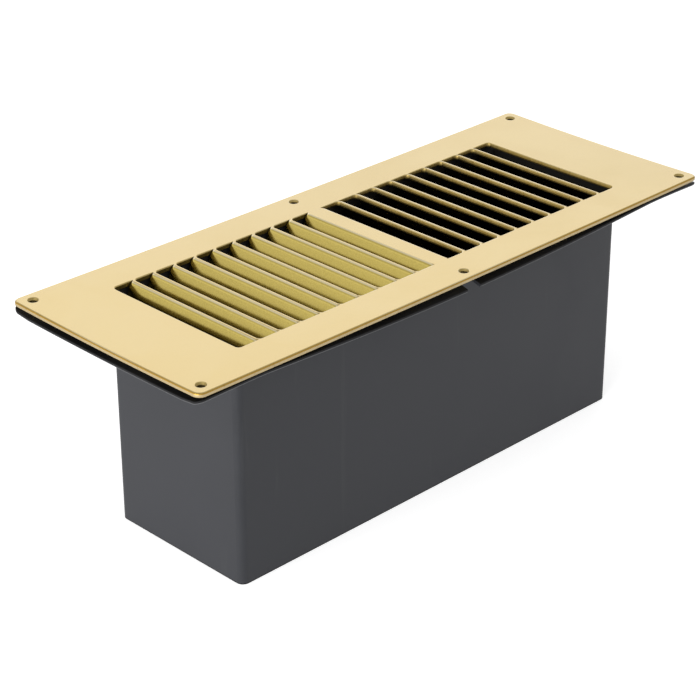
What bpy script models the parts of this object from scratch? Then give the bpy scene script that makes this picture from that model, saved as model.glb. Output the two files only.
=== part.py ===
"""Louvred floor grille: a pressed brass face plate that sits in a moulded plastic duct sleeve.

Metres, +Z up. The origin is the centre of the sleeve's bottom opening, X runs along the grille,
and the two banks of louvres lean away from the middle, one towards -X and one towards +X.
"""

import math

import bmesh
import bpy
from mathutils import Vector

# Whole object
HEIGHT = 0.1077           # bottom rim of the sleeve to the face plate's top
CONTACT_GAP = 0.0003      # left between the plate and the sleeve's flange where they touch

# Face plate: one sheet of brass
PLATE_LENGTH = 0.300
PLATE_WIDTH = 0.1146
PLATE_CORNER = 0.0036
SHEET = 0.0019

# Louvres, cut and bent down out of the sheet
SLOTS_PER_BANK = 10
SLOT_PITCH = 0.011
FIRST_HINGE = 0.0037      # from the middle of the plate to the first bend line
SLOT_WIDTH = 0.0105       # bend line to sheared edge, which is also the blade's flat length
SLOT_LENGTH = 0.0760
SLOT_CORNER = 0.0017
BLADE_SLOPE = math.radians(59)
BEND_RADIUS = 0.0024      # of the sheet's top surface round the bend
BEND_STEPS = 6
CORNER_STEPS = 5
RELIEF = 0.0004           # the blade's end steps in from the slot's end by this much
RELIEF_RUN = 0.0009       # over this length of blade
END_TAPER = 0.10          # and then by this much for each length of blade

# Screw holes: four corners and the middle of each long side
HOLE_RADIUS = 0.0016
COUNTERSINK_RADIUS = 0.0023
COUNTERSINK_DEPTH = 0.0009
CORNER_HOLE = (0.1437, 0.0512)
MIDDLE_HOLE_Y = 0.0512

# Duct sleeve: a rectangular spigot for a 229 x 76 mm opening, with a flange round its mouth
DUCT_HALF = (0.1152, 0.0387)
DUCT_CORNER = 0.0035
DUCT_WALL = 0.0013
FLANGE_THICKNESS = 0.00145
FLANGE_UNDERCUT = (0.0008, 0.0006)     # the rounded lower edge's inset and height
FLANGE_FLAT = 0.003                    # the flange stays flat this far out from the duct
MOUTH_CHAMFER = (0.0015, 0.0030)       # outwards and down, so that the blades' ends clear
FLANGE_HOLE_RADIUS = 0.0025
NOTCH_RADIUS = 0.0038
LONG_SAG = 0.00315        # the thin flange droops at the middle of its long sides
SHORT_SAG = 0.00235       # and along its short sides
SAG_HALF_SPAN = 0.117     # the long sides' droop ends here, over the duct's corners
SAG_POWER = 1.5           # how the droop grows outwards from the duct
CORNER_HOLD = 0.75        # share of the short sides' droop that the flange's corners take back
CORNER_HOLD_POWER = 4
LONG_SIDE_STEPS = 16
SHORT_SIDE_STEPS = 6
FLANGE_RINGS = 3          # between the flat part and the edge

ROUND_STEPS = 24
OVERCUT = 0.004           # how far a cutter stands past what it cuts
WELD = 1e-6
CLOSE = 1e-5              # two planes this near are the same plane
NEARLY_ALONG = 0.99       # cosine between directions that count as one

PLATE_TOP = HEIGHT
FLANGE_TOP = PLATE_TOP - SHEET - CONTACT_GAP
FLANGE_UNDERSIDE = FLANGE_TOP - FLANGE_THICKNESS
FLANGE_HALF = (PLATE_LENGTH / 2, PLATE_WIDTH / 2)
QUARTER = math.pi / 2


def clear_scene():
    for old in list(bpy.data.objects):
        bpy.data.objects.remove(old, do_unlink=True)


def new_collection(name):
    collection = bpy.data.collections.new(name)
    bpy.context.scene.collection.children.link(collection)
    return collection


def new_material(name, colour, metallic, roughness):
    material = bpy.data.materials.new(name)
    material.use_nodes = True
    shader = material.node_tree.nodes["Principled BSDF"]
    shader.inputs["Base Color"].default_value = (*colour, 1.0)
    shader.inputs["Metallic"].default_value = metallic
    shader.inputs["Roughness"].default_value = roughness
    return material


def new_object(name, data, collection):
    made = bpy.data.objects.new(name, data)
    collection.objects.link(made)
    return made


def object_from(bm, name, collection):
    bmesh.ops.recalc_face_normals(bm, faces=bm.faces[:])
    mesh = bpy.data.meshes.new(name)
    bm.to_mesh(mesh)
    bm.free()
    return new_object(name, mesh, collection)


def quarter_circle(centre, radius, start, steps):
    """Points of a quarter circle, anticlockwise from the angle start."""
    points = []
    for i in range(steps + 1):
        angle = start + QUARTER * i / steps
        points.append((centre[0] + radius * math.cos(angle), centre[1] + radius * math.sin(angle)))
    return points


# ---- face plate ----

def plate_outline():
    inner_x = PLATE_LENGTH / 2 - PLATE_CORNER
    inner_y = PLATE_WIDTH / 2 - PLATE_CORNER
    points = []
    for turn, (sx, sy) in enumerate(((1, 1), (-1, 1), (-1, -1), (1, -1))):
        centre = (sx * inner_x, sy * inner_y)
        points += quarter_circle(centre, PLATE_CORNER, turn * QUARTER, CORNER_STEPS)
    return points


def hinge_x(slot):
    return FIRST_HINGE + slot * SLOT_PITCH


def slot_outline(slot, side):
    """One louvre's opening: square at the bend line, rounded at the two sheared corners."""
    near = hinge_x(slot)
    half = SLOT_LENGTH / 2
    corner_x = near + SLOT_WIDTH - SLOT_CORNER
    corner_y = half - SLOT_CORNER
    points = [(near, -half)]
    points += quarter_circle((corner_x, -corner_y), SLOT_CORNER, -QUARTER, CORNER_STEPS)
    points += quarter_circle((corner_x, corner_y), SLOT_CORNER, 0.0, CORNER_STEPS)
    points.append((near, half))
    return [(side * x, y) for x, y in points]


def extruded_outlines(name, outlines, middle_z, thickness, collection):
    """Flat outlines given a thickness, welded into closed bodies of one mesh object."""
    curve = bpy.data.curves.new(name, "CURVE")
    curve.dimensions = "2D"
    curve.fill_mode = "BOTH"
    curve.extrude = thickness / 2
    for outline in outlines:
        spline = curve.splines.new("POLY")
        spline.points.add(len(outline) - 1)
        for point, (x, y) in zip(spline.points, outline):
            point.co = (x, y, 0.0, 1.0)
        spline.use_cyclic_u = True
    flat = new_object(name, curve, collection)
    flat.location.z = middle_z
    mesh = evaluated_mesh(flat)
    placed = flat.matrix_world.copy()
    bpy.data.objects.remove(flat)

    bm = bmesh.new()
    bm.from_mesh(mesh)
    bmesh.ops.remove_doubles(bm, verts=bm.verts[:], dist=WELD)
    made = object_from(bm, name, collection)
    made.matrix_world = placed
    return made


def evaluated_mesh(source):
    bpy.context.view_layer.update()
    evaluated = source.evaluated_get(bpy.context.evaluated_depsgraph_get())
    return bpy.data.meshes.new_from_object(evaluated)


def blade_half_length(run):
    """Half the blade's length across its opening, at a distance run along the sheet."""
    eased = math.sin(QUARTER * min(run / RELIEF_RUN, 1.0))
    half = SLOT_LENGTH / 2 - RELIEF * eased - END_TAPER * max(run - RELIEF_RUN, 0.0)
    into_corner = max(run - (SLOT_WIDTH - SLOT_CORNER), 0.0)
    return half - SLOT_CORNER + math.sqrt(max(SLOT_CORNER ** 2 - into_corner ** 2, 0.0))


def blade_runs():
    """Distances along the sheet, from the bend line to the blade's tip, that get a section."""
    arc = (BEND_RADIUS - SHEET / 2) * BLADE_SLOPE
    runs = [arc * i / BEND_STEPS for i in range(1, BEND_STEPS + 1)]
    for i in range(CORNER_STEPS):
        angle = QUARTER * i / (CORNER_STEPS - 0.5)
        runs.append(SLOT_WIDTH - SLOT_CORNER + SLOT_CORNER * math.sin(angle))
    return runs


def blade_point(run, depth):
    """How far out and down a point of the bent sheet is, at a distance run and a depth in it."""
    neutral = BEND_RADIUS - SHEET / 2
    slope = min(run / neutral, BLADE_SLOPE)
    straight = max(run - neutral * BLADE_SLOPE, 0.0)
    out = BEND_RADIUS * math.sin(slope) + straight * math.cos(slope) - depth * math.sin(slope)
    down = BEND_RADIUS * (1 - math.cos(slope)) + straight * math.sin(slope) + depth * math.cos(slope)
    return out, down


def is_hinge_wall(face, side):
    """True for an opening's flat wall at its bend line, which faces away from the middle."""
    x = face.calc_center_median().x * side
    if face.normal.x * side < NEARLY_ALONG:
        return False
    return any(abs(x - hinge_x(slot)) < CLOSE for slot in range(SLOTS_PER_BANK))


def press_blade(bm, wall, side):
    """Draws an opening's hinge wall out along the bend and the blade, as part of the sheet."""
    root = wall.calc_center_median()
    corners = [(v.co.copy(), v.co.z < root.z, math.copysign(1, v.co.y)) for v in wall.verts]
    tip = wall
    for run in blade_runs():
        tip = bmesh.ops.extrude_discrete_faces(bm, faces=[tip])["faces"][0]
        moved = []
        for vert in tip.verts:
            _, is_under, end = min(corners, key=lambda corner: (corner[0] - vert.co).length)
            out, down = blade_point(run, SHEET if is_under else 0.0)
            vert.co = Vector((root.x + side * out, end * blade_half_length(run), PLATE_TOP - down))
            moved.append((vert.co.copy(), is_under, end))
        corners = moved


def screw_hole_cutter(x, y, collection):
    """A turned cutter: a straight hole with a countersink at the plate's top."""
    profile = [
        (0.0, OVERCUT),
        (COUNTERSINK_RADIUS, OVERCUT),
        (COUNTERSINK_RADIUS, 0.0),
        (HOLE_RADIUS, -COUNTERSINK_DEPTH),
        (HOLE_RADIUS, -SHEET - CONTACT_GAP / 2),
        (0.0, -SHEET - CONTACT_GAP / 2),
    ]
    mesh = bpy.data.meshes.new("screw_hole_profile")
    edges = [(i, i + 1) for i in range(len(profile) - 1)]
    mesh.from_pydata([(r, 0.0, z) for r, z in profile], edges, [])
    cutter = new_object("screw_hole_cutter", mesh, collection)
    cutter.location = (x, y, PLATE_TOP)
    screw = cutter.modifiers.new("turn", "SCREW")
    screw.steps = ROUND_STEPS
    screw.render_steps = ROUND_STEPS
    screw.use_merge_vertices = True
    screw.merge_threshold = WELD
    return cutter


def hole_places():
    corner_x, corner_y = CORNER_HOLE
    places = [(sx * corner_x, sy * corner_y) for sx in (-1, 1) for sy in (-1, 1)]
    return places + [(0.0, sy * MIDDLE_HOLE_Y) for sy in (-1, 1)]


def cut_with(target, cutters):
    for cutter in cutters:
        cutter.hide_render = True
        cutter.display_type = "WIRE"
        cut = target.modifiers.new(cutter.name, "BOOLEAN")
        cut.operation = "DIFFERENCE"
        cut.solver = "EXACT"
        cut.object = cutter


def make_face_plate(parts, cutters):
    middle = PLATE_TOP - SHEET / 2
    blank = extruded_outlines("plate_blank", [plate_outline()], middle, SHEET, cutters)
    outlines = [slot_outline(slot, side) for side in (-1, 1) for slot in range(SLOTS_PER_BANK)]
    deep = SHEET + 2 * OVERCUT
    punches = [extruded_outlines("slot_cutter", outlines, middle, deep, cutters)]
    punches += [screw_hole_cutter(x, y, cutters) for x, y in hole_places()]
    cut_with(blank, punches)

    bm = bmesh.new()
    bm.from_mesh(evaluated_mesh(blank))
    bm.transform(blank.matrix_world)
    bpy.data.objects.remove(blank)
    for side in (-1, 1):
        for wall in [face for face in bm.faces if is_hinge_wall(face, side)]:
            press_blade(bm, wall, side)
    plate = object_from(bm, "face_plate", parts)
    plate.data.materials.clear()
    plate.data.materials.append(new_material("brass", (0.80, 0.62, 0.33), 1.0, 0.28))
    return plate


# ---- duct sleeve ----

def outward_share(distance, inner, outer):
    """0 at inner, 1 at outer."""
    return min(max((distance - inner) / (outer - inner), 0.0), 1.0)


def flange_sag(x, y):
    """How far the relaxed flange droops at a point of it."""
    across = outward_share(abs(y), DUCT_HALF[1] + FLANGE_FLAT, FLANGE_HALF[1])
    along = outward_share(abs(x), DUCT_HALF[0] + FLANGE_FLAT, FLANGE_HALF[0])
    bow = math.cos(QUARTER * min(abs(x) / SAG_HALF_SPAN, 1.0))
    held = 1 - CORNER_HOLD * across ** CORNER_HOLD_POWER
    return LONG_SAG * bow * across ** SAG_POWER + SHORT_SAG * held * along ** SAG_POWER


def ring_points(half_x, half_y, radius):
    """A rounded rectangle with the same number of points whatever its size."""
    inner_x, inner_y = half_x - radius, half_y - radius
    points = []
    for turn, (sx, sy) in enumerate(((1, 1), (-1, 1), (-1, -1), (1, -1))):
        arc = quarter_circle((sx * inner_x, sy * inner_y), radius, turn * QUARTER, CORNER_STEPS)
        long_side = turn % 2 == 0
        steps = LONG_SIDE_STEPS if long_side else SHORT_SIDE_STEPS
        run = 2 * (inner_x if long_side else inner_y)
        last = arc[-1]
        step_x = -sx * run / steps if long_side else 0.0
        step_y = 0.0 if long_side else -sy * run / steps
        points += arc
        points += [(last[0] + step_x * i, last[1] + step_y * i) for i in range(1, steps)]
    return points


def flange_ring(share, inset, z):
    """A ring of the flange, share of the way from the duct's outside to the flange's edge."""
    half_x = DUCT_HALF[0] + share * (FLANGE_HALF[0] - inset - DUCT_HALF[0])
    half_y = DUCT_HALF[1] + share * (FLANGE_HALF[1] - inset - DUCT_HALF[1])
    radius = DUCT_CORNER + share * (PLATE_CORNER - DUCT_CORNER)
    return [(x, y, z - flange_sag(x, y)) for x, y in ring_points(half_x, half_y, radius)]


def duct_ring(inset, z):
    """A ring of the duct's walls, inset from their outside."""
    half_x, half_y = DUCT_HALF[0] - inset, DUCT_HALF[1] - inset
    return [(x, y, z) for x, y in ring_points(half_x, half_y, DUCT_CORNER - inset)]


def sleeve_rings():
    """The sleeve's skin as rings: up its outside, out and back over the flange, down its inside."""
    flat_share = FLANGE_FLAT / (FLANGE_HALF[1] - DUCT_HALF[1])
    shares = [flat_share + (1 - flat_share) * i / FLANGE_RINGS for i in range(FLANGE_RINGS + 1)]
    inset, rise = FLANGE_UNDERCUT
    widen, drop = MOUTH_CHAMFER
    rings = [duct_ring(0.0, 0.0), duct_ring(0.0, FLANGE_UNDERSIDE)]
    rings += [flange_ring(share, inset, FLANGE_UNDERSIDE) for share in shares]
    rings.append(flange_ring(1.0, 0.0, FLANGE_UNDERSIDE + rise))
    rings += [flange_ring(share, 0.0, FLANGE_TOP) for share in reversed(shares)]
    rings.append(duct_ring(DUCT_WALL - widen, FLANGE_TOP))
    rings.append(duct_ring(DUCT_WALL, FLANGE_TOP - drop))
    rings.append(duct_ring(DUCT_WALL, 0.0))
    return rings


def loft_closed(rings):
    """Joins each ring to the next, and the last to the first, into one closed skin."""
    bm = bmesh.new()
    loops = [[bm.verts.new(point) for point in ring] for ring in rings]
    for i, loop in enumerate(loops):
        following = loops[(i + 1) % len(loops)]
        for j, vert in enumerate(loop):
            k = (j + 1) % len(loop)
            bm.faces.new((vert, loop[k], following[k], following[j]))
    bmesh.ops.triangulate(bm, faces=bm.faces[:])
    return bm


def upright_cutter(name, radius, x, y, collection):
    """A round cutter through the flange, however far the flange droops there."""
    depth = FLANGE_THICKNESS + LONG_SAG + 2 * OVERCUT
    bm = bmesh.new()
    bmesh.ops.create_cone(
        bm, cap_ends=True, segments=ROUND_STEPS, radius1=radius, radius2=radius, depth=depth)
    cutter = object_from(bm, name, collection)
    cutter.location = (x, y, FLANGE_TOP + OVERCUT - depth / 2)
    return cutter


def notch_cutter(end, collection):
    """A round-ended cutter that opens the flange's edge at the middle of a long side."""
    cutter = upright_cutter("notch_cutter", NOTCH_RADIUS, 0.0, end * MIDDLE_HOLE_Y, collection)
    reach = FLANGE_HALF[1] - MIDDLE_HOLE_Y + OVERCUT
    bm = bmesh.new()
    bm.from_mesh(cutter.data)
    for vert in bm.verts:
        if vert.co.y * end > WELD:
            vert.co.y = end * reach
    bmesh.ops.remove_doubles(bm, verts=bm.verts[:], dist=WELD)
    bm.to_mesh(cutter.data)
    bm.free()
    return cutter


def make_duct_sleeve(parts, cutters):
    sleeve = object_from(loft_closed(sleeve_rings()), "duct_sleeve", parts)
    made = [notch_cutter(end, cutters) for end in (-1, 1)]
    for x, y in hole_places():
        if x:
            made.append(upright_cutter("flange_hole_cutter", FLANGE_HOLE_RADIUS, x, y, cutters))
    cut_with(sleeve, made)
    sleeve.data.materials.append(new_material("grey_plastic", (0.075, 0.076, 0.080), 0.0, 0.5))
    return sleeve


def main():
    clear_scene()
    parts = new_collection("louvred_floor_grille")
    cutters = new_collection("cutters")
    make_face_plate(parts, cutters)
    make_duct_sleeve(parts, cutters)


main()
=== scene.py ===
import math

import bmesh
import bpy
from mathutils import Matrix, Vector
from mathutils.geometry import delaunay_2d_cdt


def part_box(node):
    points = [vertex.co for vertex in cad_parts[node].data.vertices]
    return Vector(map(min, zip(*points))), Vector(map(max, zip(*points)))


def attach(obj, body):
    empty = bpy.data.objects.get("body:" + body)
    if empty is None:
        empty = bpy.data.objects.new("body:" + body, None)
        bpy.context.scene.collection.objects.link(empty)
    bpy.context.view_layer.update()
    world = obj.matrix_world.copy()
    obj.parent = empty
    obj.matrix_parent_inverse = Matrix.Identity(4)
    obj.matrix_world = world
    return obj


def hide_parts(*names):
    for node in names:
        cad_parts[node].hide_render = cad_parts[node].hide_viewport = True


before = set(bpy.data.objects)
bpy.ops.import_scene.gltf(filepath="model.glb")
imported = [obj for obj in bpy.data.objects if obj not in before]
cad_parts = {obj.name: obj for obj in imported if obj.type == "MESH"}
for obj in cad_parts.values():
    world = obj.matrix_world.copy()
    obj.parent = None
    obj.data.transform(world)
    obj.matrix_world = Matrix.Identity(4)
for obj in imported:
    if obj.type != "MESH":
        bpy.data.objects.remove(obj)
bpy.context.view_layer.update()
plateLow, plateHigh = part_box("face_plate")
sleeveLow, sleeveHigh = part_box("duct_sleeve")

mm = 0.001
quarter = math.pi / 2
weld = 1e-6                     # points closer than this are one point
quarters = (0.25, 0.5, 0.75)


def smoothStep(value, low, high):
    t = min(max((value - low) / (high - low), 0.0), 1.0)
    return t * t * (3 - 2 * t)


def arcPoints(centre, radii, start, steps):
    # a quarter of an ellipse
    points = []
    for i in range(steps + 1):
        angle = start + quarter * i / steps
        x = centre[0] + radii[0] * math.cos(angle)
        y = centre[1] + radii[1] * math.sin(angle)
        points.append((x, y))
    return points


def roundedLoop(halfX, halfY, radius, cornerSteps, longSteps=1, shortSteps=1):
    # a rounded rectangle, anticlockwise, with the same number of points whatever its size
    innerX, innerY = halfX - radius, halfY - radius
    loop = []
    for turn, (signX, signY) in enumerate(((1, 1), (-1, 1), (-1, -1), (1, -1))):
        centre = (signX * innerX, signY * innerY)
        arc = arcPoints(centre, (radius, radius), turn * quarter, cornerSteps)
        steps = shortSteps if turn % 2 else longSteps
        reach = 2 * (innerY if turn % 2 else innerX) / steps
        stepX = 0.0 if turn % 2 else -signX * reach
        stepY = -signY * reach if turn % 2 else 0.0
        loop += arc
        loop += [(arc[-1][0] + stepX * i, arc[-1][1] + stepY * i) for i in range(1, steps)]
    return loop


def atHeight(points, z):
    return [(x, y, z) for x, y in points]


def addRows(bm, rows, closed, slot=0):
    # quads between rows of points; a closed row joins its own ends
    made = [[bm.verts.new(point) for point in row] for row in rows]
    for first, second in zip(made, made[1:]):
        for i in range(len(first) if closed else len(first) - 1):
            k = (i + 1) % len(first)
            face = bm.faces.new((first[i], first[k], second[k], second[i]))
            face.material_index = slot


def addFlat(bm, loops, z, slot=0):
    # a flat face with holes: the area inside the first loop and outside the others
    points, outlines = [], []
    for loop in loops:
        outlines.append(range(len(points), len(points) + len(loop)))
        points += [Vector(point) for point in loop]
    corners, _, faces, *_ = delaunay_2d_cdt(points, [], outlines, 2, weld)
    verts = [bm.verts.new((corner.x, corner.y, z)) for corner in corners]
    for face in faces:
        made = bm.faces.new([verts[i] for i in face])
        made.material_index = slot


def pieceFrom(bm, name, materials, sharpAngle):
    bmesh.ops.remove_doubles(bm, verts=bm.verts[:], dist=weld)
    bmesh.ops.recalc_face_normals(bm, faces=bm.faces[:])
    mesh = bpy.data.meshes.new(name)
    bm.to_mesh(mesh)
    bm.free()
    for material in materials:
        mesh.materials.append(material)
    mesh.shade_smooth()
    mesh.set_sharp_from_angle(angle=math.radians(sharpAngle))
    piece = bpy.data.objects.new(name, mesh)
    bpy.context.scene.collection.objects.link(piece)
    return piece


def curlCorners(mesh, low, high, rise):
    # the corners stand a little higher than the rest; all of it from height high up, none below low
    halfX, halfY = plateHigh.x, plateHigh.y
    for vert in mesh.vertices:
        corner = (vert.co.x / halfX) ** 2 * (vert.co.y / halfY) ** 2
        vert.co.z += rise * corner * smoothStep(vert.co.z, low, high)


def steadyNormals(piece):
    # big flat faces keep flat shading beside small rounded ones
    steady = piece.modifiers.new("steadyNormals", "WEIGHTED_NORMAL")
    steady.mode = "FACE_AREA_WITH_ANGLE"
    steady.weight = 90
    steady.keep_sharp = True


def newGroup(name, inputs, outputs):
    # an effect that several materials use
    group = bpy.data.node_groups.new(name, "ShaderNodeTree")
    for socketName, kind, value in inputs:
        socket = group.interface.new_socket(
            name=socketName, in_out="INPUT", socket_type=kind)
        if value is not None:
            socket.default_value = value
    for socketName, kind in outputs:
        group.interface.new_socket(name=socketName, in_out="OUTPUT", socket_type=kind)
    return group, group.nodes.new("NodeGroupInput"), group.nodes.new("NodeGroupOutput")


def addNode(tree, kind, values=None, links=None, **settings):
    node = tree.nodes.new(kind)
    for key, value in settings.items():
        setattr(node, key, value)
    for key, value in (values or {}).items():
        node.inputs[key].default_value = value
    for key, source in (links or {}).items():
        tree.links.new(source, node.inputs[key])
    return node


def addRamp(tree, source, stops):
    ramp = addNode(tree, "ShaderNodeValToRGB", links={"Fac": source})
    elements = ramp.color_ramp.elements
    for i, (position, shade) in enumerate(stops):
        element = elements[i] if i < 2 else elements.new(position)
        element.position = position
        colour = shade if isinstance(shade, tuple) else (shade, shade, shade)
        element.color = (*colour, 1.0)
    return ramp


def addBlend(tree, factor, first, second):
    # a colour mix; a tuple is a fixed colour and anything else a link
    blend = addNode(tree, "ShaderNodeMix", data_type="RGBA")
    tree.links.new(factor, blend.inputs["Factor"])
    for key, colour in (("A", first), ("B", second)):
        if isinstance(colour, tuple):
            blend.inputs[key].default_value = (*colour, 1.0)
        else:
            tree.links.new(colour, blend.inputs[key])
    return blend.outputs["Result"]


def makeGrainGroup():
    # fine surface grain with soft blotches over it
    group, source, result = newGroup(
        "surfaceGrain",
        [("Position", "NodeSocketVector", None),
         ("Grain Scale", "NodeSocketFloat", 2500.0),
         ("Blotch Scale", "NodeSocketFloat", 40.0),
         ("Blotch Share", "NodeSocketFloat", 0.5)],
        [("Height", "NodeSocketFloat"), ("Blotches", "NodeSocketFloat")])
    grain = addNode(
        group, "ShaderNodeTexNoise", {"Detail": 3.0, "Roughness": 0.6},
        {"Vector": source.outputs["Position"], "Scale": source.outputs["Grain Scale"]})
    blotch = addNode(
        group, "ShaderNodeTexNoise", {"Detail": 4.0, "Roughness": 0.55, "Distortion": 0.6},
        {"Vector": source.outputs["Position"], "Scale": source.outputs["Blotch Scale"]})
    height = addNode(
        group, "ShaderNodeMix", None,
        {"Factor": source.outputs["Blotch Share"],
         "A": grain.outputs["Fac"],
         "B": blotch.outputs["Fac"]})
    group.links.new(height.outputs["Result"], result.inputs["Height"])
    group.links.new(blotch.outputs["Fac"], result.inputs["Blotches"])
    return group


def makeScratchGroup():
    # sparse fine hairlines along one direction of the stretched position
    group, source, result = newGroup(
        "hairlines",
        [("Position", "NodeSocketVector", None),
         ("Stretch", "NodeSocketVector", (1.0, 12.0, 1.0)),
         ("Scale", "NodeSocketFloat", 60.0),
         ("Rarity", "NodeSocketFloat", 0.62),
         ("Sharpness", "NodeSocketFloat", 12.0)],
        [("Mask", "NodeSocketFloat")])
    stretched = addNode(
        group, "ShaderNodeVectorMath", None,
        {0: source.outputs["Position"], 1: source.outputs["Stretch"]},
        operation="MULTIPLY")
    streaks = addNode(
        group, "ShaderNodeTexNoise", {"Detail": 5.0, "Roughness": 0.7, "Distortion": 0.2},
        {"Vector": stretched.outputs["Vector"], "Scale": source.outputs["Scale"]})
    past = addNode(
        group, "ShaderNodeMath", None, {0: streaks.outputs["Fac"], 1: source.outputs["Rarity"]},
        operation="SUBTRACT")
    mask = addNode(
        group, "ShaderNodeMath", None,
        {0: past.outputs["Value"], 1: source.outputs["Sharpness"]},
        operation="MULTIPLY", use_clamp=True)
    group.links.new(mask.outputs["Value"], result.inputs["Mask"])
    return group


def useGroup(tree, group, values, links):
    node = tree.nodes.new("ShaderNodeGroup")
    node.node_tree = group
    for key, value in values.items():
        node.inputs[key].default_value = value
    for key, source in links.items():
        tree.links.new(source, node.inputs[key])
    return node


def newMaterial(name):
    material = bpy.data.materials.new(name)
    material.use_nodes = True
    tree = material.node_tree
    shader = tree.nodes["Principled BSDF"]
    position = addNode(tree, "ShaderNodeTexCoord").outputs["Object"]
    return material, tree, shader, position


blotchSpan = (0.3, 0.7)         # from the faintest to the strongest blotches


def roughen(tree, shader, grain, polish, strength, depth):
    # dull patches where the blotches are, and the grain as a fine bump; gives the dullness
    dull = addNode(
        tree, "ShaderNodeMapRange",
        {"From Min": blotchSpan[0], "From Max": blotchSpan[1],
         "To Min": polish[0], "To Max": polish[1]},
        {"Value": grain.outputs["Blotches"]})
    tree.links.new(dull.outputs["Result"], shader.inputs["Roughness"])
    bump = addNode(
        tree, "ShaderNodeBump", {"Strength": strength, "Distance": depth},
        {"Height": grain.outputs["Height"]})
    tree.links.new(bump.outputs["Normal"], shader.inputs["Normal"])
    return dull.outputs["Result"]


grainGroup = makeGrainGroup()
scratchGroup = makeScratchGroup()
print("shader groups made")


brass = {
    # a lacquered face
    "pale": (0.705, 0.535, 0.222),
    "deep": (0.675, 0.503, 0.192),
    "bladePale": (0.71, 0.55, 0.12),
    "bladeDeep": (0.62, 0.475, 0.09),
    # pale rim tone: partly polish wear, partly a painted highlight
    "wornHighlight": (0.92, 0.79, 0.48),
    "topSplit": (0.35, 0.62),         # where the blotches turn deep and pale
    "bladeSplit": (0.40, 0.60),
    # depths below the top surface: the rims are painted bright from the first to the second, partly
    # as polish wear and partly as a painted highlight, and the blades' richer tone comes in from
    # the third to the last
    "depths": (0.02 * mm, 0.06 * mm, 0.20 * mm, 0.42 * mm),
    "polish": (0.14, 0.21),           # roughness, from its smoothest to its dullest patches
    "grainScale": 1800.0,
    "grainDepth": 0.010 * mm,
    "grainStrength": 0.35,
    "blotchScale": 26.0,
    "blotchShare": 0.08,
    "hairlineScale": 55.0,
    "hairlineRarity": 0.66,
    "hairlineStretch": (1.0, 22.0, 4.0),
    "hairlineDullness": 0.10,
    "lacquer": 0.85,
    "lacquerRoughness": 0.10,
    "lacquerIor": 1.5,
}
cutFinish = {
    "polish": (0.45, 0.60),
    "grainScale": 1400.0,
    "grainDepth": 0.02 * mm,
    "grainStrength": 0.5,
    "blotchScale": 160.0,
    "blotchShare": 0.3,
    "streakScale": 700.0,
    "streakRarity": 0.56,
    "streakStretch": (1.0, 1.0, 0.08),
}
cuts = {
    # pale and deep tones of the metal where the punch went through it
    "shearedBrass": ((0.43, 0.325, 0.12), (0.33, 0.245, 0.08)),
    "trimmedEdge": ((0.44, 0.35, 0.20), (0.38, 0.295, 0.155)),
    # the steeper half of the outer rounding, painted dark brown: a painted shade
    "shadedRounding": ((0.40, 0.25, 0.055), (0.33, 0.20, 0.04)),
    # near black: on the torn lower part of each cut a painted shade, and the same tone over the
    # whole cut in the left bank
    "darkCutShade": ((0.11, 0.085, 0.03), (0.07, 0.05, 0.015)),
    # the screw holes' bores, painted near black: a painted shade
    "shadedBore": ((0.10, 0.075, 0.03), (0.04, 0.03, 0.015)),
}


def makeFaceBrass():
    material, tree, shader, position = newMaterial("lacqueredBrass")
    grain = useGroup(
        tree, grainGroup,
        {"Grain Scale": brass["grainScale"], "Blotch Scale": brass["blotchScale"],
         "Blotch Share": brass["blotchShare"]},
        {"Position": position})
    hairlines = useGroup(
        tree, scratchGroup,
        {"Scale": brass["hairlineScale"], "Rarity": brass["hairlineRarity"],
         "Stretch": brass["hairlineStretch"]},
        {"Position": position})
    topTone = addRamp(
        tree, grain.outputs["Blotches"],
        zip(brass["topSplit"], (brass["deep"], brass["pale"])))
    bladeTone = addRamp(
        tree, grain.outputs["Height"],
        zip(brass["bladeSplit"], (brass["bladeDeep"], brass["bladePale"])))
    height = addNode(tree, "ShaderNodeSeparateXYZ", None, {"Vector": position}).outputs["Z"]
    clean, wornHighlight, faceEnds, bladeBegins = [plateHigh.z - depth for depth in brass["depths"]]
    onRim = addNode(
        tree, "ShaderNodeMapRange", {"From Min": clean, "From Max": wornHighlight}, {"Value": height})
    onBlade = addNode(
        tree, "ShaderNodeMapRange", {"From Min": faceEnds, "From Max": bladeBegins},
        {"Value": height})
    # the rims take the pale tone: polish wear and a painted highlight
    rimTone = addBlend(tree, onRim.outputs["Result"], topTone.outputs["Color"], brass["wornHighlight"])
    tone = addBlend(tree, onBlade.outputs["Result"], rimTone, bladeTone.outputs["Color"])
    tree.links.new(tone, shader.inputs["Base Color"])
    dull = roughen(
        tree, shader, grain, brass["polish"], brass["grainStrength"], brass["grainDepth"])
    scratched = addNode(
        tree, "ShaderNodeMath", {1: brass["hairlineDullness"]},
        {0: hairlines.outputs["Mask"], 2: dull},
        operation="MULTIPLY_ADD")
    tree.links.new(scratched.outputs["Value"], shader.inputs["Roughness"])
    shader.inputs["Metallic"].default_value = 1.0
    shader.inputs["Coat Weight"].default_value = brass["lacquer"]
    shader.inputs["Coat Roughness"].default_value = brass["lacquerRoughness"]
    shader.inputs["Coat IOR"].default_value = brass["lacquerIor"]
    return material


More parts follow.
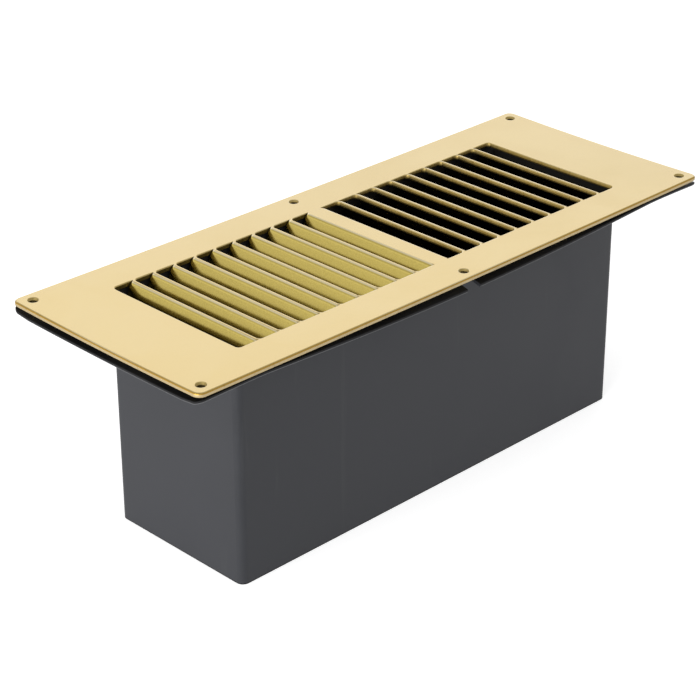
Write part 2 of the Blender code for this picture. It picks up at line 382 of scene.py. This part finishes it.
def makeCutBrass(name):
    material, tree, shader, position = newMaterial(name)
    pale, deep = cuts[name]
    grain = useGroup(
        tree, grainGroup,
        {"Grain Scale": cutFinish["grainScale"], "Blotch Scale": cutFinish["blotchScale"],
         "Blotch Share": cutFinish["blotchShare"]},
        {"Position": position})
    # the punch leaves upright streaks down the cut
    streaks = useGroup(
        tree, scratchGroup,
        {"Scale": cutFinish["streakScale"], "Rarity": cutFinish["streakRarity"],
         "Stretch": cutFinish["streakStretch"]},
        {"Position": position})
    tone = addBlend(tree, streaks.outputs["Mask"], pale, deep)
    tree.links.new(tone, shader.inputs["Base Color"])
    roughen(
        tree, shader, grain, cutFinish["polish"], cutFinish["grainStrength"],
        cutFinish["grainDepth"])
    shader.inputs["Metallic"].default_value = 1.0
    return material


faceBrass = makeFaceBrass()
cutBrasses = [makeCutBrass(name) for name in cuts]
# the face plate's material slots, in the order of the cuts
faceSlot, shearedSlot, edgeSlot, shadedRoundSlot, darkCutSlot, shadedBoreSlot = range(1 + len(cuts))
print("brass mixed")


plate = {
    # pressed from one sheet, its louvres cut on three sides and bent down
    "sheet": 1.9 * mm,
    "corner": 3.6 * mm,
    "topRound": 0.90 * mm,          # the outer edge, rounded by blanking
    "burrRound": 0.15 * mm,         # its lower edge
    "holeRadius": 1.6 * mm,
    "sinkRadius": 2.3 * mm,
    "sinkDepth": 0.9 * mm,
    "sinkLip": 0.35 * mm,           # the dished lip round each countersink
    "sinkLipDepth": 0.10 * mm,
    "sinkLipBend": (0.45, 0.3),     # shares of the lip's width and depth where its dish turns
    "sinkEase": 0.06 * mm,
    "boreEase": 0.05 * mm,
    "boreStep": 0.03 * mm,
    "cornerHole": (143.7 * mm, 51.2 * mm),
    "middleHoleY": 51.2 * mm,
    "holeSteps": 36,
    "cornerSteps": 10,
    "longSteps": 36,
    "shortSteps": 14,
    "roundSteps": 8,
    "shadeFrom": 3,                 # steps of the rounding that keep the face's colour; the steeper steps are painted dark brown, a painted shade
    "margin": 0.4 * mm,             # flat ring kept beside each rounded edge
    "sharpAngle": 50,
    "curl": 0.66 * mm,              # the corners stand this much higher than the middle
}
louvres = {
    "slots": 10,
    "pitch": 11.0 * mm,
    "firstHinge": 3.7 * mm,
    "width": 10.5 * mm,
    "length": 76.0 * mm,
    "corner": 1.7 * mm,
    "slope": 59.0,
    # each blade's own small error, from the middle outwards
    "slopeDrift": (1.2, 0.5, 0.1, -0.2, 0.2, 0.4, 0.5, 0.6, 0.8, 1.8),
    "bendRadius": 2.4 * mm,
    "bendSteps": 12,
    "endRoll": 0.9 * mm,            # the top rolls into the cut over this width at the ends
    "farRoll": 0.8 * mm,            # at the outermost opening's far side
    "stripRoll": 0.48 * mm,         # and beside the next bend, where there is no room for more
    "rollDepth": 0.35 * mm,
    "stripRollDepth": 0.45 * mm,
    "rollSteps": 6,
    "burnished": 1.35 * mm,         # the shiny upper part of a cut
    "tearRun": 2.5 * mm,            # the roll dies out this far from the bend
    "tearSteps": 5,
    "endMiddle": 0.55,              # share of the width where an end has one more point
    "relief": 0.4 * mm,             # gap at the blade's ends
    "reliefRun": 0.9 * mm,
    "taper": 0.10,
    "edgeRound": 0.12 * mm,         # blade edges, upper side
    "underRound": 0.35 * mm,        # and lower side
    "edgeRun": 0.6 * mm,            # both are full this far from the hinge
    "tipSteps": 8,
    "columns": (-1.0, -0.97, -0.9, -0.7, -0.35, 0.0, 0.35, 0.7, 0.9, 0.97, 1.0),
}


def hingeX(slot):
    return louvres["firstHinge"] + slot * louvres["pitch"]


def slotRow(slot, side, spread, under=False):
    # one row of points round an opening's three cut sides; spread is 0 at the cut and 1 where
    # the roll begins
    near = hingeX(slot)
    half = louvres["length"] / 2
    last = slot == louvres["slots"] - 1
    growX = (louvres["farRoll"] if last else louvres["stripRoll"]) * spread
    growY = louvres["endRoll"] * spread
    radii = (louvres["corner"] + growX, louvres["corner"] + growY)
    cornerX = near + louvres["width"] - louvres["corner"]
    cornerY = half - louvres["corner"]
    steps = louvres["tearSteps"]
    alongEnd = [near + louvres["tearRun"] * i / steps for i in range(steps + 1)]
    alongEnd.append(near + louvres["endMiddle"] * louvres["width"])
    lowEnd = [(x, -half - growY) for x in alongEnd]
    lowArc = arcPoints((cornerX, -cornerY), radii, -quarter, plate["cornerSteps"])
    highArc = arcPoints((cornerX, cornerY), radii, 0.0, plate["cornerSteps"])
    farSide = [(cornerX + radii[0], cornerY * share) for share in louvres["columns"][1:-1]]
    highEnd = [(x, half + growY) for x in reversed(alongEnd)]
    depth = 1 - math.sqrt(1 - (1 - spread) ** 2)
    row = []
    for x, y in lowEnd + lowArc + farSide + highArc + highEnd:
        onFar = smoothStep(x, cornerX, cornerX + radii[0]) if not last else 0.0
        rolled = louvres["rollDepth"] + onFar * (louvres["stripRollDepth"] - louvres["rollDepth"])
        sink = rolled * depth * smoothStep(x - near, 0.0, louvres["tearRun"])
        z = plateHigh.z - (plate["sheet"] if under else sink)
        row.append((side * x, y, z))
    return row


def bladeHalf(run):
    eased = math.sin(quarter * min(run / louvres["reliefRun"], 1.0))
    half = louvres["length"] / 2 - louvres["relief"] * eased
    half -= louvres["taper"] * max(run - louvres["reliefRun"], 0.0)
    intoCorner = min(max(run - louvres["width"] + louvres["corner"], 0.0), louvres["corner"])
    return half - louvres["corner"] + math.sqrt(louvres["corner"] ** 2 - intoCorner ** 2)


def bladePoint(run, depth, slope):
    # out and down from the hinge line, at a distance along the sheet and a depth in it
    neutral = louvres["bendRadius"] - plate["sheet"] / 2
    turned = min(run / neutral, slope)
    straight = max(run - neutral * slope, 0.0)
    out = (louvres["bendRadius"] - depth) * math.sin(turned) + straight * math.cos(turned)
    down = louvres["bendRadius"] * (1 - math.cos(turned)) + straight * math.sin(turned)
    return out, down + depth * math.cos(turned)


def bladeSection(slot, side, run, slope, thin=0.0):
    # a closed loop of points round the blade; thin is 1 at the very tip, where its edges are
    # rounded off
    ramp = min(run / louvres["edgeRun"], 1.0)
    upper, lower = louvres["edgeRound"] * ramp, louvres["underRound"] * ramp
    half = bladeHalf(run)
    top, bottom = upper * thin, plate["sheet"] - lower * thin
    around = [(top, share * (half - upper)) for share in louvres["columns"]]
    around += [(max(top, upper), half), (plate["sheet"] - lower, half)]
    around += [(bottom, -share * (half - lower)) for share in louvres["columns"]]
    around += [(plate["sheet"] - lower, -half), (max(top, upper), -half)]
    points = []
    for depth, y in around:
        out, down = bladePoint(run, depth, slope)
        points.append((side * (hingeX(slot) + out), y, plateHigh.z - down))
    return points


def addBlade(bm, slot, side):
    slope = math.radians(louvres["slope"] + louvres["slopeDrift"][slot])
    bend = (louvres["bendRadius"] - plate["sheet"] / 2) * slope
    runs = [bend * i / louvres["bendSteps"] for i in range(louvres["bendSteps"] + 1)]
    straightEnd = louvres["width"] - louvres["corner"]
    runs += [bend + (straightEnd - bend) * share for share in quarters]
    steps = louvres["tipSteps"]
    runs += [straightEnd + louvres["corner"] * math.sin(quarter * i / steps) for i in range(steps)]
    sections = [bladeSection(slot, side, run, slope) for run in runs]
    tipRun = straightEnd + louvres["corner"] * math.sin(quarter * (steps - 0.5) / steps)
    tip = bladeSection(slot, side, tipRun, slope, thin=1.0)
    sections.append(tip)
    addRows(bm, sections, closed=True)
    # close the tip between its upper and lower edge, then beside them at both ends
    count = len(louvres["columns"])
    topRow = tip[:count]
    bottomRow = tip[count + 2:2 * count + 2][::-1]
    highEnd = [[topRow[-1], bottomRow[-1]], [tip[count], tip[count + 1]]]
    lowEnd = [[topRow[0], bottomRow[0]], [tip[-1], tip[-2]]]
    for rows in ([topRow, bottomRow], highEnd, lowEnd):
        addRows(bm, rows, closed=False, slot=shearedSlot)


def addOpening(bm, slot, side):
    # the rolled rim, the sheared wall and the blade; gives the loops that the flat faces stop at
    steps = louvres["rollSteps"]
    spreads = [1 - math.sin(quarter * i / steps) for i in range(steps + 1)]
    rim = [slotRow(slot, side, spread) for spread in spreads]
    steep = steps // 2
    addRows(bm, rim[:steep + 1], closed=False, slot=faceSlot)
    addRows(bm, rim[steep:], closed=False, slot=shearedSlot)
    under = slotRow(slot, side, 0.0, under=True)
    # the upper part of the cut keeps the paler sheared tone in one bank and takes the near-black
    # tone in the other; the torn part below is rougher, and its near-black colour is painted shade
    torn = [(x, y, plateHigh.z - louvres["burnished"]) for x, y, _ in under]
    addRows(bm, [rim[-1], torn], closed=False, slot=shearedSlot if side > 0 else darkCutSlot)
    addRows(bm, [torn, under], closed=False, slot=darkCutSlot)
    addBlade(bm, slot, side)
    half = louvres["length"] / 2
    hinge = [(rim[0][0][0], -share * half) for share in louvres["columns"]]
    highEnds = [(row[-1][0], row[-1][1]) for row in rim[1:-1]]
    lowEnds = [(row[0][0], row[0][1]) for row in reversed(rim[1:-1])]
    topLoop = [(x, y) for x, y, _ in rim[0]] + highEnds + hinge + lowEnds
    underLoop = [(x, y) for x, y, _ in under] + hinge[1:-1]
    return topLoop, underLoop


def addScrewHole(bm, x, y):
    steps = plate["holeSteps"]
    lip = plate["sinkRadius"] + plate["sinkLip"]
    bendWidth, bendDepth = plate["sinkLipBend"]
    dish = [
        (lip + plate["margin"], 0.0), (lip, 0.0),
        (plate["sinkRadius"] + bendWidth * plate["sinkLip"], bendDepth * plate["sinkLipDepth"]),
        (plate["sinkRadius"], plate["sinkLipDepth"]),
    ]
    cone = [
        (plate["sinkRadius"] - plate["sinkEase"], plate["sinkLipDepth"] + plate["sinkEase"]),
        (plate["holeRadius"] + plate["boreEase"], plate["sinkDepth"] - plate["boreEase"]),
    ]
    bore = [
        (plate["holeRadius"], plate["sinkDepth"] + plate["boreStep"]),
        (plate["holeRadius"], plate["sheet"]),
    ]
    angles = [2 * math.pi * i / steps for i in range(steps)]
    rows = []
    for radius, depth in dish + cone + bore:
        ring = [(x + radius * math.cos(angle), y + radius * math.sin(angle)) for angle in angles]
        rows.append(atHeight(ring, plateHigh.z - depth))
    dished, coned = len(dish), len(dish) + len(cone)
    addRows(bm, rows[:dished], closed=True, slot=faceSlot)
    addRows(bm, rows[dished - 1:coned], closed=True, slot=shearedSlot)
    # the bore is painted near black, a painted shade
    addRows(bm, rows[coned - 1:], closed=True, slot=shadedBoreSlot)
    return [point[:2] for point in rows[0]], [point[:2] for point in rows[-1]]


def holePlaces():
    cornerX, cornerY = plate["cornerHole"]
    places = [(signX * cornerX, signY * cornerY) for signX in (-1, 1) for signY in (-1, 1)]
    return places + [(0.0, signY * plate["middleHoleY"]) for signY in (-1, 1)]


def addPlateEdge(bm):
    # the outer edge: rounded over at the top, sheared, and slightly eased below
    halfX, halfY = plateHigh.x, plateHigh.y
    steps, radius = plate["roundSteps"], plate["topRound"]
    rows = [(radius + plate["margin"], 0.0)]
    for i in range(steps + 1):
        angle = quarter * i / steps
        rows.append((radius * (1 - math.sin(angle)), radius * (1 - math.cos(angle))))
    rows += [(0.0, plate["sheet"] - plate["burrRound"]), (plate["burrRound"], plate["sheet"])]
    counts = plate["cornerSteps"], plate["longSteps"], plate["shortSteps"]
    loops = []
    for inset, depth in rows:
        outline = roundedLoop(halfX - inset, halfY - inset, plate["corner"] - inset, *counts)
        loops.append(atHeight(outline, plateHigh.z - depth))
    shadeRow = plate["shadeFrom"] + 1
    addRows(bm, loops[:shadeRow + 1], closed=True, slot=faceSlot)
    # the steeper half of the rounding is painted dark brown, a painted shade
    addRows(bm, loops[shadeRow:steps + 1], closed=True, slot=shadedRoundSlot)
    addRows(bm, loops[steps:], closed=True, slot=edgeSlot)
    return [point[:2] for point in loops[0]], [point[:2] for point in loops[-1]]


def makeFacePlate():
    bm = bmesh.new()
    edges = [addPlateEdge(bm)]
    edges += [addScrewHole(bm, x, y) for x, y in holePlaces()]
    for side in (-1, 1):
        edges += [addOpening(bm, slot, side) for slot in range(louvres["slots"])]
    addFlat(bm, [top for top, _ in edges], plateHigh.z, faceSlot)
    addFlat(bm, [under for _, under in edges], plateHigh.z - plate["sheet"], faceSlot)
    piece = pieceFrom(bm, "brassFacePlate", [faceBrass, *cutBrasses], plate["sharpAngle"])
    # the whole sheet takes part, blades and all
    curlCorners(piece.data, plateLow.z - 2 * mm, plateLow.z - mm, plate["curl"])
    steadyNormals(piece)
    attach(piece, "plate")
    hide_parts("face_plate")
    return piece


facePlate = makeFacePlate()
print("face plate pressed:", len(facePlate.data.polygons), "faces")


plastic = {
    # matt grey; each tone goes from base to faded in its blotches
    "base": (0.0155, 0.0165, 0.0200),
    "faded": (0.0215, 0.0225, 0.0265),
    "highlightBase": (0.060, 0.061, 0.064),
    "highlightFaded": (0.085, 0.086, 0.090),
    "shadedInnerBase": (0.006, 0.006, 0.0065),
    "shadedInnerFaded": (0.010, 0.010, 0.011),
    "dust": (0.10, 0.098, 0.092),
    "roughness": (0.42, 0.56),
    "specular": 0.28,
    "innerSpecular": 0.12,
    "grainScale": 2600.0,
    "grainDepth": 0.02 * mm,
    "grainStrength": 0.4,
    "blotchScale": 22.0,
    "blotchShare": 0.15,
    "drawScale": 150.0,
    "drawRarity": 0.63,
    "drawStretch": (1.0, 1.0, 0.06),
    "drawDust": 0.05,
}


def makePlastic(name, base, faded, specular):
    material, tree, shader, position = newMaterial(name)
    grain = useGroup(
        tree, grainGroup,
        {"Grain Scale": plastic["grainScale"], "Blotch Scale": plastic["blotchScale"],
         "Blotch Share": plastic["blotchShare"]},
        {"Position": position})
    # faint upright marks from drawing the moulding off its core
    drawn = useGroup(
        tree, scratchGroup,
        {"Scale": plastic["drawScale"], "Rarity": plastic["drawRarity"],
         "Stretch": plastic["drawStretch"]},
        {"Position": position})
    tone = addRamp(tree, grain.outputs["Blotches"], zip(blotchSpan, (base, faded)))
    faint = addNode(
        tree, "ShaderNodeMath", {1: plastic["drawDust"]}, {0: drawn.outputs["Mask"]},
        operation="MULTIPLY")
    marked = addBlend(tree, faint.outputs["Value"], tone.outputs["Color"], plastic["dust"])
    tree.links.new(marked, shader.inputs["Base Color"])
    roughen(
        tree, shader, grain, plastic["roughness"], plastic["grainStrength"],
        plastic["grainDepth"])
    shader.inputs["Specular IOR Level"].default_value = specular
    return material


greyPlastic = makePlastic(
    "mouldedPlastic", plastic["base"], plastic["faded"], plastic["specular"])
# the flange's rounded lower edge is painted pale, a painted highlight
highlightPlastic = makePlastic(
    "highlightPlastic", plastic["highlightBase"], plastic["highlightFaded"], plastic["specular"])
# inside the duct, over the flange's top under the plate and along the bottom edge, it is painted
# nearly black, a painted shade
shadedInnerPlastic = makePlastic(
    "shadedPlastic", plastic["shadedInnerBase"], plastic["shadedInnerFaded"], plastic["innerSpecular"])
print("plastic mixed")

sleeve = {
    "half": (115.2 * mm, 38.7 * mm),
    "corner": 3.5 * mm,
    "wall": 1.3 * mm,
    "flange": 1.45 * mm,
    "flangeCorner": 3.6 * mm,
    "undercut": (0.8 * mm, 0.6 * mm),    # the flange's rounded lower edge
    "topRound": 0.25 * mm,
    "flat": 3.0 * mm,                    # the flange stays flat this far out
    "fillet": 0.8 * mm,
    "mouth": (1.5 * mm, 3.0 * mm),
    "mouthEase": 0.1 * mm,
    "rimRound": 0.3 * mm,
    "shadowLine": 0.6 * mm,                 # the bottom edge is painted dark up to here, a painted contact shadow
    "holeRadius": 2.5 * mm,
    "notchRadius": 3.8 * mm,
    "longSag": 3.15 * mm,
    "shortSag": 2.35 * mm,
    "sagSpan": 117.0 * mm,
    "sagPower": 1.5,
    "cornerHold": 0.75,                  # the corners hold back this share of the end's sag
    "holdPower": 4,
    "rings": 9,
    "roundSteps": 3,                     # of the small roundings
    "filletSteps": 4,                    # of the fillet and of the flange's lower edge
    "longSteps": 48,
    "shortSteps": 16,
    "cornerSteps": 8,
    "sharpAngle": 40,
    "holeSteps": 40,
    "cutDepth": 16 * mm,
    "notchPast": 4 * mm,                 # the notches' cutters reach this far past the edge
}


def share(distance, inner, outer):
    return min(max((distance - inner) / (outer - inner), 0.0), 1.0)


def flangeSag(x, y):
    # the loose flange droops between the duct's corners
    across = share(abs(y), sleeve["half"][1] + sleeve["flat"], sleeveHigh.y)
    along = share(abs(x), sleeve["half"][0] + sleeve["flat"], sleeveHigh.x)
    bow = math.cos(quarter * min(abs(x) / sleeve["sagSpan"], 1.0))
    held = 1 - sleeve["cornerHold"] * across ** sleeve["holdPower"]
    overSides = sleeve["longSag"] * bow * across ** sleeve["sagPower"]
    overEnds = sleeve["shortSag"] * held * along ** sleeve["sagPower"]
    return overSides + overEnds


def sleeveLoop(halfX, halfY, radius):
    counts = sleeve["cornerSteps"], sleeve["longSteps"], sleeve["shortSteps"]
    return roundedLoop(halfX, halfY, radius, *counts)


def flangeRow(outward, inset, z):
    halfX = sleeve["half"][0] + outward * (sleeveHigh.x - inset - sleeve["half"][0])
    halfY = sleeve["half"][1] + outward * (sleeveHigh.y - inset - sleeve["half"][1])
    radius = sleeve["corner"] + outward * (sleeve["flangeCorner"] - sleeve["corner"])
    return [(x, y, z - flangeSag(x, y)) for x, y in sleeveLoop(halfX, halfY, radius)]


def ductRow(inset, z):
    halfX, halfY = sleeve["half"][0] - inset, sleeve["half"][1] - inset
    return atHeight(sleeveLoop(halfX, halfY, sleeve["corner"] - inset), z)


def roundingOf(steps):
    # how far along and how far across a quarter round is at each step, as shares of its radius
    angles = [quarter * i / steps for i in range(steps + 1)]
    return [(1 - math.sin(angle), 1 - math.cos(angle)) for angle in angles]


def sleeveRows():
    # the moulding's skin: up the outside, out and back over the flange, down the inside
    top = sleeveHigh.z
    under = top - sleeve["flange"]
    rim, fillet, wall = sleeve["rimRound"], sleeve["fillet"], sleeve["wall"]
    inset, rise = sleeve["undercut"]
    firstShare = sleeve["flat"] / (sleeveHigh.y - sleeve["half"][1])
    steps = sleeve["rings"]
    shares = [firstShare + (1 - firstShare) * i / steps for i in range(steps + 1)]
    small = roundingOf(sleeve["roundSteps"])
    large = roundingOf(sleeve["filletSteps"])
    rows = [ductRow(rim * along, rim * across) for along, across in small]
    # the bottom rim up to this row is painted dark, a painted contact shadow
    rows.append(ductRow(0.0, sleeve["shadowLine"]))
    bottom = len(rows)
    rows += [ductRow(0.0, under * level) for level in quarters]
    rows += [ductRow(-fillet * across, under - fillet * along) for along, across in large]
    rows += [flangeRow(outward, inset, under) for outward in shares]
    # the flange's rounded lower edge takes the pale painted highlight
    highlightRow = len(rows)
    rows += [flangeRow(1.0, inset * along, under + rise * across) for along, across in large[1:]]
    outer = len(rows)
    # from here over the flange's top, the mouth and the inside, the plastic is painted near black,
    # a painted shade
    ease = sleeve["topRound"]
    rows += [flangeRow(1.0, ease * across, top - ease * along) for along, across in small]
    rows += [flangeRow(outward, ease, top) for outward in reversed(shares[:-1])]
    # the mouth's chamfer, eased where it meets the top and the wall
    widen, drop = sleeve["mouth"]
    soft = sleeve["mouthEase"]
    rows.append(ductRow(wall - widen - 2 * soft, top))
    rows.append(ductRow(wall - widen + soft, top - 1.5 * soft))
    rows.append(ductRow(wall - soft, top - drop + soft))
    rows.append(ductRow(wall, top - drop - 2 * soft))
    rows += [ductRow(wall, under * level) for level in reversed(quarters)]
    rows.append(ductRow(wall, rim))
    rows += [ductRow(wall - rim * across, rim * along) for along, across in small[1:]]
    return rows[bottom - 1:highlightRow], rows[highlightRow - 1:outer], rows[outer - 1:] + rows[:bottom]


def cutFlange(piece):
    # the corner holes, and the open notches at the middle of the long sides
    cutters = []
    for x, y in holePlaces():
        radius = sleeve["holeRadius"] if x else sleeve["notchRadius"]
        bm = bmesh.new()
        bmesh.ops.create_cone(
            bm, cap_ends=True, segments=sleeve["holeSteps"], radius1=radius, radius2=radius,
            depth=sleeve["cutDepth"])
        if not x:
            # the outer half is drawn out past the flange's edge
            for vert in bm.verts:
                if vert.co.y * y > weld * abs(y):
                    vert.co.y = math.copysign(sleeveHigh.y - abs(y) + sleeve["notchPast"], y)
            bmesh.ops.remove_doubles(bm, verts=bm.verts[:], dist=weld)
        bmesh.ops.recalc_face_normals(bm, faces=bm.faces[:])
        mesh = bpy.data.meshes.new("flangeCutter")
        bm.to_mesh(mesh)
        bm.free()
        cutter = bpy.data.objects.new("flangeCutter", mesh)
        bpy.context.scene.collection.objects.link(cutter)
        cutter.location = (x, y, sleeveHigh.z)
        cut = piece.modifiers.new("cut", "BOOLEAN")
        cut.operation = "DIFFERENCE"
        cut.solver = "EXACT"
        cut.object = cutter
        cutters.append(cutter)
    bpy.context.view_layer.update()
    evaluated = piece.evaluated_get(bpy.context.evaluated_depsgraph_get())
    finished = bpy.data.meshes.new_from_object(evaluated)
    piece.modifiers.clear()
    piece.data = finished
    finished.shade_smooth()
    finished.set_sharp_from_angle(angle=math.radians(sleeve["sharpAngle"]))
    for cutter in cutters:
        bpy.data.objects.remove(cutter)


def makeDuctSleeve():
    bm = bmesh.new()
    for slot, rows in enumerate(sleeveRows()):
        addRows(bm, rows, closed=True, slot=slot)
    tones = [greyPlastic, highlightPlastic, shadedInnerPlastic]
    piece = pieceFrom(bm, "greyDuctSleeve", tones, sleeve["sharpAngle"])
    cutFlange(piece)
    # the flange's corners follow the plate's
    curlCorners(piece.data, sleeveLow.z, sleeveHigh.z, plate["curl"])
    steadyNormals(piece)
    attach(piece, "sleeve")
    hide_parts("duct_sleeve")
    return piece


ductSleeve = makeDuctSleeve()
print("duct sleeve moulded:", len(ductSleeve.data.polygons), "faces")


studio = {
    "floorHalf": 6.0,
    "openingSteps": 6,
    "floorColour": (0.80, 0.80, 0.80),
    "floorGlow": 0.56,
    # heights and brightnesses: brightest round the horizon, with a second band under the dimmer top
    "sky": (
        (0.0, 0.0), (0.01, 1.1), (0.16, 1.05), (0.26, 0.74),
        (0.36, 0.74), (0.44, 0.92), (0.55, 0.92), (0.70, 0.60),
    ),
    # name, place, size and power
    "sideLights": (
        ("rearRight", (1.9, 2.0, 1.0), (2.4, 1.9), 4.3),
        ("left", (-2.4, -0.4, 0.5), (1.8, 0.8), 66.0),
    ),
}


def makeFloor():
    # a pale floor with an opening under the sleeve, as a duct would have
    material, _, shader, _ = newMaterial("paleFloor")
    shader.inputs["Base Color"].default_value = (*studio["floorColour"], 1.0)
    shader.inputs["Roughness"].default_value = 0.9
    shader.inputs["Specular IOR Level"].default_value = 0.1
    shader.inputs["Emission Color"].default_value = (1.0, 1.0, 1.0, 1.0)
    shader.inputs["Emission Strength"].default_value = studio["floorGlow"]
    bm = bmesh.new()
    reach = studio["floorHalf"]
    inset = sleeve["wall"] / 2
    halfX, halfY = sleeve["half"][0] - inset, sleeve["half"][1] - inset
    edge = [(reach, reach), (-reach, reach), (-reach, -reach), (reach, -reach)]
    hole = roundedLoop(halfX, halfY, sleeve["corner"] - inset, studio["openingSteps"])
    addFlat(bm, [edge, hole], sleeveLow.z)
    mesh = bpy.data.meshes.new("floor")
    bm.to_mesh(mesh)
    bm.free()
    mesh.materials.append(material)
    floor = bpy.data.objects.new("floor", mesh)
    bpy.context.scene.collection.objects.link(floor)


def makeSky():
    world = bpy.data.worlds.new("studio")
    bpy.context.scene.world = world
    world.use_nodes = True
    tree = world.node_tree
    direction = addNode(tree, "ShaderNodeTexCoord").outputs["Generated"]
    height = addNode(tree, "ShaderNodeSeparateXYZ", None, {"Vector": direction}).outputs["Z"]
    ramp = addRamp(tree, height, studio["sky"])
    background = tree.nodes["Background"]
    tree.links.new(ramp.outputs["Color"], background.inputs["Color"])


def makeSideLights(aim):
    for name, place, size, power in studio["sideLights"]:
        light = bpy.data.lights.new(name, "AREA")
        light.shape = "RECTANGLE"
        light.size, light.size_y = size
        light.energy = power
        lamp = bpy.data.objects.new(name, light)
        bpy.context.scene.collection.objects.link(lamp)
        lamp.location = place
        lamp.rotation_euler = (aim - Vector(place)).to_track_quat("-Z", "Y").to_euler()


view = {
    "azimuth": -44.4965,        # degrees round from the long side's normal
    "elevation": 26.99556,
    "roll": -0.1648,
    "distance": 0.932473,       # from the middle of the plate's top
    "aside": (-0.011032, -0.049172),
    "lens": 112.11,
    "clip": (0.02, 60.0),
}


def makeCamera(aim):
    azimuth, elevation = math.radians(view["azimuth"]), math.radians(view["elevation"])
    roll = math.radians(view["roll"])
    back = Vector((
        math.sin(azimuth) * math.cos(elevation), -math.cos(azimuth) * math.cos(elevation),
        math.sin(elevation)))
    level = Vector((0, 0, 1)).cross(back).normalized()
    upright = back.cross(level)
    right = level * math.cos(roll) + upright * math.sin(roll)
    up = upright * math.cos(roll) - level * math.sin(roll)
    data = bpy.data.cameras.new("camera")
    data.lens = view["lens"]
    data.clip_start, data.clip_end = view["clip"]
    camera = bpy.data.objects.new("camera", data)
    bpy.context.scene.collection.objects.link(camera)
    place = aim + back * view["distance"] + right * view["aside"][0] + up * view["aside"][1]
    turned = Matrix((right, up, back)).transposed().to_4x4()
    camera.matrix_world = Matrix.Translation(place) @ turned
    bpy.context.scene.camera = camera


plateMiddle = Vector((0.0, 0.0, plateHigh.z))
makeFloor()
makeSky()
makeSideLights(plateMiddle)
makeCamera(plateMiddle)
bpy.context.scene.view_settings.view_transform = "Standard"
print("floor, light and camera set")
